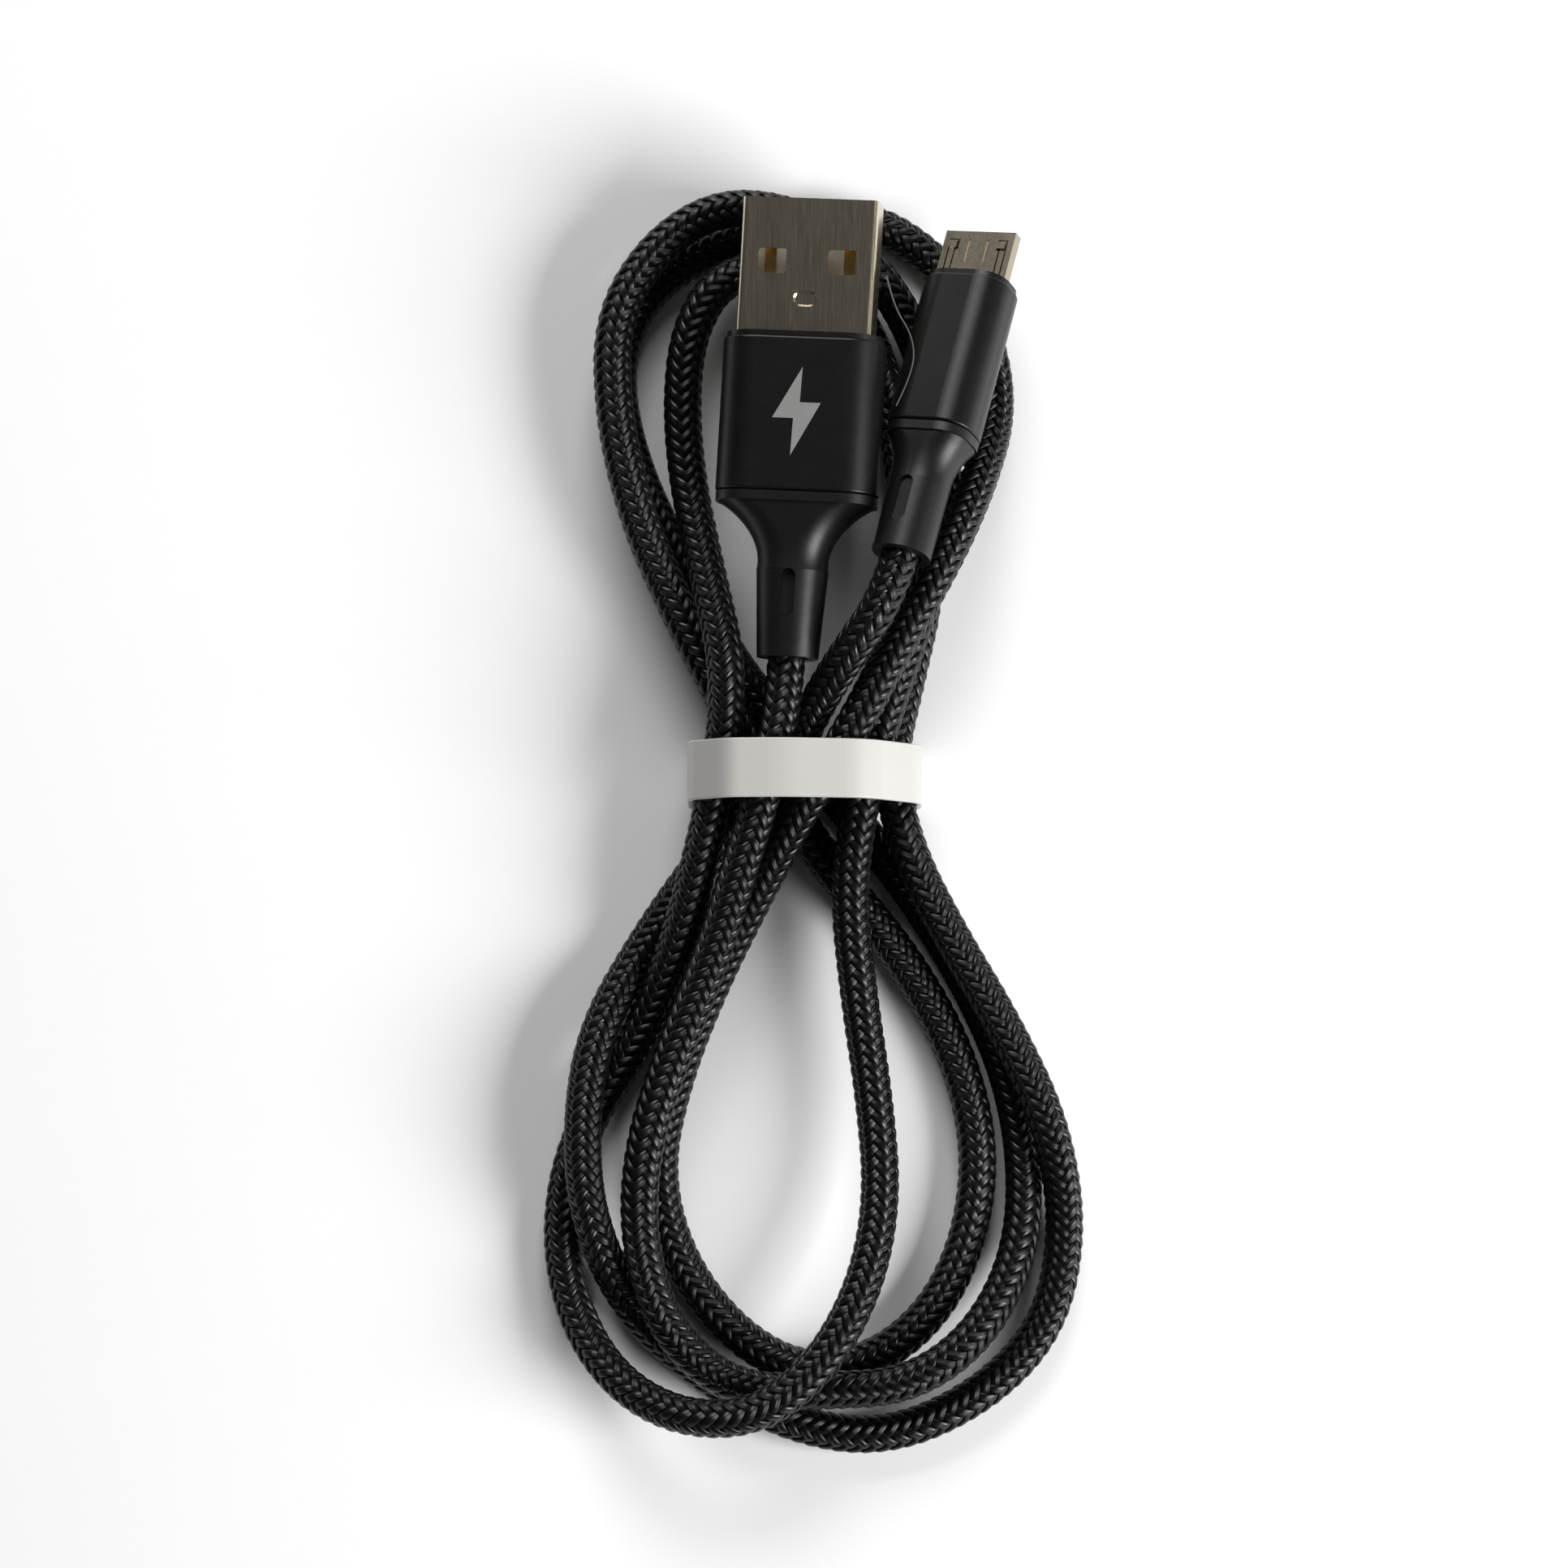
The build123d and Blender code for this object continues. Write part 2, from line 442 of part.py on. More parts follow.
def trapezoid(shrink):
    """Draw the micro-USB outline, its wide side up, its lower corners cut, smaller all round by shrink."""
    half_top = M_SHELL_TOP_WIDTH / 2 - shrink
    half_base = M_SHELL_BASE_WIDTH / 2 - shrink * 0.6
    half_height = M_SHELL_HEIGHT / 2 - shrink
    Polygon(
        (-half_top, half_height), (half_top, half_height), (half_top, -M_SIDE_DROP),
        (half_base, -half_height), (-half_base, -half_height), (-half_top, -M_SIDE_DROP), align=None,
    )


def m_pocket():
    """Draw the outline of the micro-USB shell."""
    trapezoid(0)


boot(M, "micro_boot", M_NECK_TAIL_WIDTH, M_NECK_WIDTH, M_NECK_LENGTH, M_FLARE_LENGTH, M_BOOT_END,
     M_BODY_WIDTH, M_BODY_HEIGHT, M_BODY_CORNER, M_MOULD_NECK_RADIUS)
sleeve(M, "micro_sleeve", M_SLEEVE_START, M_SLEEVE_LENGTH, M_BODY_WIDTH, M_BODY_HEIGHT, M_BODY_CORNER)
inner_mould(M, "micro_inner_mould", M_BOOT_END, M_SLEEVE_START, M_MOULD_END, M_SHELL_START,
            M_BODY_WIDTH, M_BODY_HEIGHT, M_BODY_CORNER, M_MOULD_NECK_RADIUS, m_pocket)
bezel(M, "micro_bezel", M_MOULD_END, M_BODY_WIDTH, M_BODY_HEIGHT, M_BODY_CORNER, m_pocket)

M_ROOF = M_SHELL_HEIGHT / 2
LATCH_START = M_TIP - LATCH_FROM_TIP - LATCH_LENGTH
with BuildPart() as micro_shell:
    with BuildSketch(M.offset(M_SHELL_START)):
        trapezoid(0)
    extrude(amount=M_TIP - M_SHELL_START)
    with BuildSketch(M.offset(M_SHELL_START)):
        trapezoid(M_SHELL_WALL)
    extrude(amount=M_TIP - M_SHELL_START, mode=Mode.SUBTRACT)
    for side in (-1, 1):
        with BuildSketch(M.offset(LATCH_START - LATCH_PLAY)):
            with Locations((side * LATCH_X, M_ROOF)):
                Rectangle(LATCH_WIDTH + 2 * LATCH_PLAY, 4 * M_SHELL_WALL)
        extrude(amount=LATCH_LENGTH + 2 * LATCH_PLAY, mode=Mode.SUBTRACT)
        tooth_x = side * (LATCH_X - (LATCH_TOOTH_WIDTH - LATCH_WIDTH) / 2)
        with BuildSketch(M.offset(M_TIP - LATCH_FROM_TIP - LATCH_TOOTH_LENGTH - LATCH_PLAY)):
            with Locations((tooth_x, M_ROOF)):
                Rectangle(LATCH_TOOTH_WIDTH + 2 * LATCH_PLAY, 4 * M_SHELL_WALL)
        extrude(amount=LATCH_TOOTH_LENGTH + 2 * LATCH_PLAY, mode=Mode.SUBTRACT)
        with BuildSketch(M.offset(M_TIP - M_GROOVE_FROM_TIP - M_GROOVE_LENGTH)):
            with Locations((side * M_GROOVE_X, M_ROOF)):
                Rectangle(M_GROOVE_WIDTH, 2 * M_GROOVE_DEPTH)
        extrude(amount=M_GROOVE_LENGTH, mode=Mode.SUBTRACT)
keep(micro_shell.part, "micro_shell")

for side, name in ((1, "left"), (-1, "right")):
    with BuildPart() as latch:
        with BuildSketch(M.offset(LATCH_START)):
            with Locations((side * LATCH_X, M_ROOF - LATCH_THICKNESS / 2)):
                Rectangle(LATCH_WIDTH, LATCH_THICKNESS)
        extrude(amount=LATCH_LENGTH)
        tooth_x = side * (LATCH_X - (LATCH_TOOTH_WIDTH - LATCH_WIDTH) / 2)
        tooth_height = LATCH_THICKNESS + LATCH_TOOTH_PROUD
        with BuildSketch(M.offset(M_TIP - LATCH_FROM_TIP - LATCH_TOOTH_LENGTH)):
            with Locations((tooth_x, M_ROOF + LATCH_TOOTH_PROUD - tooth_height / 2)):
                Rectangle(LATCH_TOOTH_WIDTH, tooth_height)
        extrude(amount=LATCH_TOOTH_LENGTH)
        nose_edges = latch.edges().filter_by(lambda e: abs(e.tangent_at(0).dot(M.x_dir)) > 0.99)
        front_top = nose_edges.sort_by(lambda e: (e.center() - M.origin).dot(M.z_dir + M.y_dir))[-1]
        chamfer(front_top, LATCH_TOOTH_PROUD * 0.9)
    keep(latch.part, f"micro_latch_{name}")

M_INNER_BASE = M_SHELL_BASE_WIDTH - 2 * M_SHELL_WALL
M_FLOOR = -M_SHELL_HEIGHT / 2 + M_SHELL_WALL + MOULD_PLAY
M_TONGUE_HEIGHT = 0.45
M_CONTACT_LEVEL = M_FLOOR + M_TONGUE_HEIGHT
M_CONTACT_THICKNESS = 0.12
with BuildPart() as micro_tongue:
    with BuildSketch(M.offset(M_SHELL_START)):
        with Locations((0, M_FLOOR + M_TONGUE_HEIGHT / 2)):
            Rectangle(M_INNER_BASE - 0.3, M_TONGUE_HEIGHT)
    extrude(amount=M_TIP - M_SHELL_START - 0.3)
keep(micro_tongue.part, "micro_tongue")
M_TAIL_HEIGHT = M_SHELL_START - 1.4
contact_set(M, "micro", M_CONTACT_X, M_CONTACT_WIDTH, M_CONTACT_THICKNESS, M_CONTACT_LEVEL,
            M_TAIL_HEIGHT, M_TIP - M_CONTACT_INSET)
M_WIRED = [M_CONTACT_X[pin] for pin in (0, 1, 2, 4)]
wires(M, "micro", M_WIRED, M_SLEEVE_START + CHAMBER_WALL, M_TAIL_HEIGHT, M_CONTACT_LEVEL + 0.2, M_WIRE_RADIUS)
jacket_and_crimp(M, "micro")

with BuildPart() as micro_rear_block:
    block_floor = M_CONTACT_LEVEL + M_CONTACT_THICKNESS
    block_roof = M_ROOF - M_SHELL_WALL - MOULD_PLAY
    with BuildSketch(M.offset(M_SHELL_START)):
        with Locations((0, (block_floor + block_roof) / 2)):
            Rectangle(M_INNER_BASE, block_roof - block_floor)
    extrude(amount=LATCH_START - M_SHELL_START - 0.5)
keep(micro_rear_block.part, "micro_rear_block")
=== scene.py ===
"""A braided charging cable, wound into a loose hank and held by a flat tie band.

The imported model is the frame: both plugs and the tie band keep its shapes and get their finishes here.
The cord is a smooth line through the route's points, dressed with a woven cover of flat yarns.
All sizes are metres, in the frame's own axes.
"""

import json
import logging
import math
from dataclasses import dataclass, field
from enum import Enum

import bmesh
import bpy
from mathutils import Matrix, Vector


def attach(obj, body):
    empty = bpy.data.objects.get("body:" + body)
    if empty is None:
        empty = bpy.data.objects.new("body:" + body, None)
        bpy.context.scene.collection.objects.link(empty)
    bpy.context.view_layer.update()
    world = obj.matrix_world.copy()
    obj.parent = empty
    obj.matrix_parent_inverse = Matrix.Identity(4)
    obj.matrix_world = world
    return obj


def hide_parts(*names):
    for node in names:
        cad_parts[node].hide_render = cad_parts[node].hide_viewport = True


logging.basicConfig(level=logging.INFO, format="%(name)s: %(message)s")
LOG = logging.getLogger("charging_cable")
MM = 0.001
ROOT = "root"
SPLINE_ORDER = 3  # the cord and the fibre are smooth curves of this order

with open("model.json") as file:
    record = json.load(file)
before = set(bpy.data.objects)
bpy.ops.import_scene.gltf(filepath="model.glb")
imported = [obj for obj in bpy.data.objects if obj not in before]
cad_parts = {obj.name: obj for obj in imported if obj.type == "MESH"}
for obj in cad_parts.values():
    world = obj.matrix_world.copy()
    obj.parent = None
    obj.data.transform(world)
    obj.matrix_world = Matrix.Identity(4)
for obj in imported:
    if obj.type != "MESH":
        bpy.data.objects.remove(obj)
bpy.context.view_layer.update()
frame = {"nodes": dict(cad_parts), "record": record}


# ---------------------------------------------------------------- shader and node helpers


class Term:
    """A socket of a node tree that takes part in Python expressions."""

    def __init__(self, graph: "Graph", socket: bpy.types.NodeSocket) -> None:
        """Wrap one output socket of a graph."""
        self.graph = graph
        self.socket = socket

    def _math(self, operation: str, *values: object) -> "Term":
        """Add one Math node.

        Args:
            operation: The Math node's operation.
            values: Its inputs, as terms or numbers.

        Returns:
            The node's result.
        """
        return self.graph.add("Math", {"operation": operation}, dict(enumerate(values)))

    def __add__(self, other: object) -> "Term":
        """Return self + other."""
        return self._math("ADD", self, other)

    __radd__ = __add__

    def __sub__(self, other: object) -> "Term":
        """Return self - other."""
        return self._math("SUBTRACT", self, other)

    def __rsub__(self, other: object) -> "Term":
        """Return other - self."""
        return self._math("SUBTRACT", other, self)

    def __mul__(self, other: object) -> "Term":
        """Return self * other."""
        return self._math("MULTIPLY", self, other)

    __rmul__ = __mul__

    def __truediv__(self, other: object) -> "Term":
        """Return self / other."""
        return self._math("DIVIDE", self, other)

    def sin(self) -> "Term":
        """Return the sine of self."""
        return self._math("SINE", self)

    def cos(self) -> "Term":
        """Return the cosine of self."""
        return self._math("COSINE", self)

    def clamp(self, low: float, high: float) -> "Term":
        """Return self kept between low and high."""
        return self._math("MINIMUM", self._math("MAXIMUM", self, low), high)


class Graph:
    """A shader or geometry node tree that is written as expressions."""

    PREFIXES = {"SHADER": ("ShaderNode",), "GEOMETRY": ("GeometryNode", "ShaderNode", "FunctionNode")}

    def __init__(self, tree: bpy.types.NodeTree) -> None:
        """Start on a node tree."""
        self.tree = tree

    def add(
        self, kind: str, settings: dict | None = None, sockets: dict | None = None, out: int | str = 0
    ) -> Term:
        """Add one node.

        Args:
            kind: The node's type, without its tree's prefix.
            settings: Attributes of the node, set before its sockets.
            sockets: Values or terms of its inputs, by name or index.
            out: The output to return, by name or index.

        Returns:
            The chosen output.
        """
        names = (prefix + kind for prefix in self.PREFIXES[self.tree.type])
        node = self.tree.nodes.new(next(n for n in names if hasattr(bpy.types, n)))
        for key, value in (settings or {}).items():
            setattr(node, key, value)
        for key, value in (sockets or {}).items():
            self.feed(node.inputs[key], value)
        return Term(self, node.outputs[out])

    def feed(self, socket: bpy.types.NodeSocket, value: object) -> None:
        """Link a term to a socket, or set the socket's own value."""
        if isinstance(value, Term):
            self.tree.links.new(value.socket, socket)
        elif isinstance(value, (tuple, list)) and len(value) == 3 and socket.type == "RGBA":
            socket.default_value = (*value, 1.0)
        else:
            socket.default_value = value

    def sibling(self, term: Term, out: str) -> Term:
        """Return another output of a term's node, by its name."""
        return Term(self, term.socket.node.outputs[out])


def new_material(name: str) -> tuple[bpy.types.Material, Graph, bpy.types.Node]:
    """Make a material with a Principled surface.

    Args:
        name: The material's name.

    Returns:
        The material, its graph and its Principled node.
    """
    material = bpy.data.materials.new(name)
    material.use_nodes = True
    tree = material.node_tree
    tree.nodes.clear()
    surface = tree.nodes.new("ShaderNodeBsdfPrincipled")
    output = tree.nodes.new("ShaderNodeOutputMaterial")
    tree.links.new(surface.outputs["BSDF"], output.inputs["Surface"])
    return material, Graph(tree), surface


class Grain(Enum):
    """The fine texture that a finish has over its surface."""

    SATIN = "satin"  # an even, fine, all-round grain
    DRAWN = "drawn"  # lines along the plug, as on drawn steel
    SMOOTH = "smooth"  # a faint unevenness only


@dataclass(frozen=True)
class Finish:
    """A finish in one colour with a fine grain, a slight mottle and its gloss.

    The grain's size and depth are in metres. Mottle is the share by which the colour varies and spread
    is how far the roughness does.
    """

    name: str
    color: tuple[float, float, float]
    roughness: float
    metallic: float = 0.0
    grain: Grain = Grain.SATIN
    grain_size: float = 0.00012
    grain_depth: float = 0.000004
    mottle: float = 0.12
    spread: float = 0.06
    specular: float = 0.5
    subsurface: float = 0.0
    subsurface_radius: tuple[float, float, float] = (1.0, 0.9, 0.8)
    subsurface_scale: float = 0.001
    axis: tuple[float, float, float] = (0.0, 1.0, 0.0)  # the way the drawn lines run
    drawn_stretch: float = 0.04  # the drawn grain's scale along its lines
    fine_detail: float = 4.0
    broad_detail: float = 3.0
    broad_ratio: float = 0.05  # the mottle's scale as a share of the grain's
    least_roughness: float = 0.04

    def build(self) -> bpy.types.Material:
        """Make the finish's material.

        Returns:
            The material, with its colour, roughness and bump drawn from the piece's own coordinates.
        """
        material, graph, surface = new_material(self.name)
        place = graph.add("TexCoord", out="Object")
        if self.grain is Grain.DRAWN:
            turn = Vector((0.0, 1.0, 0.0)).rotation_difference(Vector(self.axis)).inverted().to_euler()
            stretch = (1.0, self.drawn_stretch, 1.0)
            place = graph.add("Mapping", {}, {"Vector": place, "Rotation": tuple(turn), "Scale": stretch})
        fine = graph.add(
            "TexNoise", {}, {"Vector": place, "Scale": 1 / self.grain_size, "Detail": self.fine_detail}
        )
        broad = graph.add(
            "TexNoise", {},
            {"Vector": place, "Scale": self.broad_ratio / self.grain_size, "Detail": self.broad_detail},
        )
        shade = (broad - 0.5) * 2.0 * self.mottle + 1.0
        tone = graph.add(
            "VectorMath", {"operation": "SCALE"}, {0: self.color, "Scale": shade + (fine - 0.5) * self.mottle}
        )
        graph.feed(surface.inputs["Base Color"], tone)
        rough = self.roughness + (fine - 0.5) * 2.0 * self.spread + (broad - 0.5) * self.spread
        graph.feed(surface.inputs["Roughness"], rough.clamp(self.least_roughness, 1.0))
        bump = graph.add(
            "Bump", {}, {"Height": fine, "Distance": self.grain_depth, "Strength": 1.0}, "Normal"
        )
        graph.feed(surface.inputs["Normal"], bump)
        surface.inputs["Metallic"].default_value = self.metallic
        surface.inputs["Specular IOR Level"].default_value = self.specular
        if self.subsurface:
            surface.inputs["Subsurface Weight"].default_value = self.subsurface
            surface.inputs["Subsurface Radius"].default_value = self.subsurface_radius
            surface.inputs["Subsurface Scale"].default_value = self.subsurface_scale
        return material


@dataclass(frozen=True)
class YarnFinish:
    """Black nylon yarn: parallel filaments along each flat yarn, with a silky gloss.

    It reads a UV map whose u runs along the yarn in metres and whose v runs once round it.
    The colour's share is its base, plus what the filaments' ridges add, plus what the lint adds.
    """

    name: str = "braid_yarn"
    color: tuple[float, float, float] = (0.0030, 0.0030, 0.0032)
    roughness: float = 0.30
    filaments: int = 12
    filament_depth: float = 0.000005
    wander_scale: float = 900.0
    wander: float = 0.9  # how far the filaments stray, in filament widths
    lint_size: float = 0.0004
    lint_detail: float = 3.0
    base_share: float = 0.65
    ridge_share: float = 0.5
    lint_share: float = 0.5
    spread: float = 0.2
    least_roughness: float = 0.1
    specular: float = 0.34

    def build(self) -> bpy.types.Material:
        """Make the yarn's material.

        Returns:
            The material, which reads the yarn's own UV map.
        """
        material, graph, surface = new_material(self.name)
        uv = graph.add("UVMap", {"uv_map": "UVMap"})
        around = graph.add("SeparateXYZ", {}, {0: uv}, "Y")
        place = graph.add("TexCoord", out="Object")
        stray = graph.add("TexNoise", {}, {"Vector": place, "Scale": self.wander_scale}) - 0.5
        ridge = ((around * self.filaments + stray * self.wander) * 2 * math.pi).sin() * 0.5 + 0.5
        lint = graph.add(
            "TexNoise", {}, {"Vector": uv, "Scale": 1 / self.lint_size, "Detail": self.lint_detail}
        )
        share = self.base_share + ridge * self.ridge_share + lint * self.lint_share
        tone = graph.add("VectorMath", {"operation": "SCALE"}, {0: self.color, "Scale": share})
        graph.feed(surface.inputs["Base Color"], tone)
        rough = self.roughness + (lint - 0.5) * self.spread
        graph.feed(surface.inputs["Roughness"], rough.clamp(self.least_roughness, 1.0))
        bump = graph.add(
            "Bump", {}, {"Height": ridge, "Distance": self.filament_depth, "Strength": 1.0}, "Normal"
        )
        graph.feed(surface.inputs["Normal"], bump)
        surface.inputs["Specular IOR Level"].default_value = self.specular
        return material


# ---------------------------------------------------------------- the view


@dataclass
class View:
    """The camera over the hank, the soft lights and the pale floor."""

    target: tuple[float, float, float] = (-0.0024, 0.0027, 0.0065)
    elevation: float = 84.0
    distance: float = 0.600
    width_at_target: float = 0.1375
    sensor_width: float = 36.0  # millimetres
    clip_start: float = 0.01
    key_place: tuple[float, float, float] = (0.46, -0.20, 0.30)
    key_size: float = 0.34
    key_power: float = 5.4
    rear_place: tuple[float, float, float] = (-0.10, 0.62, 0.42)
    rear_size: float = 0.50
    rear_power: float = 4.8
    surround_color: tuple[float, float, float] = (0.95, 0.97, 1.0)
    surround: float = 0.05
    floor_size: float = 3.0

    def build(self) -> None:
        """Make the camera, the lights and the floor, and show colours plainly."""
        self._camera()
        self._lights()
        self._surround()
        self._floor()
        bpy.context.scene.view_settings.view_transform = "Standard"
        LOG.info("view: camera %.0f degrees up", self.elevation)

    def _camera(self) -> None:
        """Set the camera over the hank, a little towards its lower end."""
        data = bpy.data.cameras.new("camera")
        camera = bpy.data.objects.new("camera", data)
        bpy.context.scene.collection.objects.link(camera)
        rise = math.radians(self.elevation)
        target = Vector(self.target)
        camera.location = target + self.distance * Vector((0, -math.cos(rise), math.sin(rise)))
        camera.rotation_euler = (math.pi / 2 - rise, 0, 0)
        data.sensor_width = self.sensor_width
        data.lens = self.sensor_width * self.distance / self.width_at_target
        data.clip_start = self.clip_start
        bpy.context.scene.camera = camera

    def _area(self, name: str, place: tuple, size: float, power: float) -> None:
        """Add a square soft light aimed at the middle of the hank."""
        data = bpy.data.lights.new(name, "AREA")
        data.size = size
        data.energy = power
        light = bpy.data.objects.new(name, data)
        light.location = place
        light.rotation_euler = (Vector(self.target) - Vector(place)).to_track_quat("-Z", "Y").to_euler()
        bpy.context.scene.collection.objects.link(light)

    def _lights(self) -> None:
        """Light the hank softly from its lower right and from behind."""
        self._area("key", self.key_place, self.key_size, self.key_power)
        self._area("rear", self.rear_place, self.rear_size, self.rear_power)

    def _surround(self) -> None:
        """Give the scene a faint pale surround."""
        world = bpy.data.worlds.new("surround")
        bpy.context.scene.world = world
        world.use_nodes = True
        background = world.node_tree.nodes["Background"]
        background.inputs["Color"].default_value = (*self.surround_color, 1.0)
        background.inputs["Strength"].default_value = self.surround

    def _floor(self) -> None:
        """Lay the plain pale floor under the hank."""
        half = self.floor_size / 2
        mesh = bpy.data.meshes.new("floor")
        corners = [(-half, -half, 0), (half, -half, 0), (half, half, 0), (-half, half, 0)]
        mesh.from_pydata(corners, [], [(0, 1, 2, 3)])
        floor = bpy.data.objects.new("floor", mesh)
        bpy.context.scene.collection.objects.link(floor)
        paper = Finish("floor_paper", (0.93, 0.93, 0.93), 0.6, grain_size=0.002, mottle=0.01, spread=0.02)
        mesh.materials.append(paper.build())


# ---------------------------------------------------------------- the plugs


@dataclass(frozen=True)
class PlugPlace:
    """Where a plug lies: its nose, the way it points and its roll, worked out from its mount.

    roll is how far its right side is raised, in degrees, and height runs from the boot's tail.
    """

    mount: str
    roll: float
    length: float

    def matrix(self) -> Matrix:
        """Return the plug's own axes at its tail: X to its left, Y out of its upper face, Z to its nose."""
        mount = next(m for m in frame["record"]["mounts"] if m["name"] == self.mount)
        nose = Vector(mount["axis"]).normalized()
        level_left = Vector((0, 0, 1)).cross(nose).normalized()
        upper = nose.cross(level_left)
        turn = math.radians(self.roll)
        left = level_left * math.cos(turn) - upper * math.sin(turn)
        up = nose.cross(left)
        tail = Vector(mount["pos_m"]) - nose * self.length
        axes = Matrix((left, up, nose)).transposed().to_4x4()
        axes.translation = tail
        return axes

    def point(self, x: float, y: float, height: float) -> Vector:
        """Return a point given across, out of and along the plug, from its tail."""
        return self.matrix() @ Vector((x, y, height))

    def nose(self) -> Vector:
        """Return the way the plug points."""
        return self.matrix().to_3x3().col[2]


A_PLACE = PlugPlace("usb_a_plug", 7.0, 0.04032)
M_PLACE = PlugPlace("micro_usb_plug", 28.0, 0.03132)


def place_mesh(name: str, mesh: bpy.types.Mesh, material: bpy.types.Material) -> bpy.types.Object:
    """Put a finished mesh in the scene on the cable's one rigid body.

    Args:
        name: The piece's name.
        mesh: Its mesh, in the frame's axes.
        material: Its finish.

    Returns:
        The piece.
    """
    mesh.materials.clear()
    mesh.materials.append(material)
    piece = bpy.data.objects.new(name, mesh)
    bpy.context.scene.collection.objects.link(piece)
    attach(piece, ROOT)
    LOG.info("%s: %d faces", name, len(mesh.polygons))
    return piece


@dataclass
class ChargeMark:
    """A plain lightning bolt printed on the upper face of the USB-A sleeve."""

    height_on_plug: float = 0.0213
    face: float = 0.00365
    length: float = 0.0078
    width: float = 0.0042
    half_thickness: float = 0.00004
    outline: tuple = ((0.08, 0.5), (-0.5, -0.08), (-0.06, -0.08), (-0.08, -0.5), (0.5, 0.1), (0.06, 0.1))

    def build(self, material: bpy.types.Material) -> bpy.types.Object:
        """Make the mark from its outline, whose points are shares of its width and length.

        Args:
            material: Its printed finish.

        Returns:
            The piece, a thin closed plate.
        """
        count = len(self.outline)
        points = [
            A_PLACE.point(-across * self.width, level, self.height_on_plug + along * self.length)
            for level in (self.face - self.half_thickness, self.face + self.half_thickness)
            for across, along in self.outline
        ]
        sides = [(i, (i + 1) % count, (i + 1) % count + count, i + count) for i in range(count)]
        lower = tuple(reversed(range(count)))
        upper = tuple(range(count, 2 * count))
        mesh = bpy.data.meshes.new("charge_mark")
        mesh.from_pydata(points, [], [lower, upper, *sides])
        return place_mesh("charge_mark", mesh, material)


@dataclass
class MouldFlash:
    """The small bead of rubber left at the tail of the micro-USB boot, on its left side."""

    place: tuple[float, float, float] = (0.00262, 0.0, 0.0007)
    radii: tuple[float, float, float] = (0.00034, 0.00055, 0.00062)
    subdivisions: int = 3

    def build(self, material: bpy.types.Material) -> bpy.types.Object:
        """Make the bead.

        Args:
            material: The boot's finish.

        Returns:
            The piece, a squashed ball half sunk in the boot.
        """
        shape = bmesh.new()
        bmesh.ops.create_icosphere(shape, subdivisions=self.subdivisions, radius=1.0)
        for vertex in shape.verts:
            in_plug = (p + r * c for p, r, c in zip(self.place, self.radii, vertex.co))
            vertex.co = M_PLACE.point(*in_plug)
        bmesh.ops.recalc_face_normals(shape, faces=shape.faces)
        mesh = bpy.data.meshes.new("micro_mould_flash")
        shape.to_mesh(mesh)
        shape.free()
        mesh.shade_smooth()
        return place_mesh("micro_mould_flash", mesh, material)


@dataclass
class StrayFibre:
    """A loose fibre that hangs in a thin arc between the two plugs."""

    route_mm: tuple = (
        (6.6, 47.0, 11.2), (7.2, 44.2, 11.6), (8.9, 41.6, 11.4), (9.0, 38.6, 11.2), (7.4, 35.4, 11.6),
    )
    radius: float = 0.00007
    roundness: int = 1

    def build(self, material: bpy.types.Material) -> bpy.types.Object:
        """Make the fibre.

        Args:
            material: Its finish.

        Returns:
            The piece, a closed thin tube.
        """
        curve = bpy.data.curves.new("stray_fibre", "CURVE")
        curve.dimensions = "3D"
        spline = curve.splines.new("NURBS")
        spline.points.add(len(self.route_mm) - 1)
        for control, point in zip(spline.points, self.route_mm):
            control.co = (*(Vector(point) * MM), 1.0)
        spline.order_u = SPLINE_ORDER
        spline.use_endpoint_u = True
        curve.bevel_depth = self.radius
        curve.bevel_resolution = self.roundness
        curve.use_fill_caps = True
        drawn = bpy.data.objects.new("stray_fibre", curve)
        bpy.context.scene.collection.objects.link(drawn)
        bpy.context.view_layer.update()
        mesh = bpy.data.meshes.new_from_object(drawn)
        bpy.data.objects.remove(drawn)
        return place_mesh("stray_fibre", mesh, material)


# ---------------------------------------------------------------- the cord


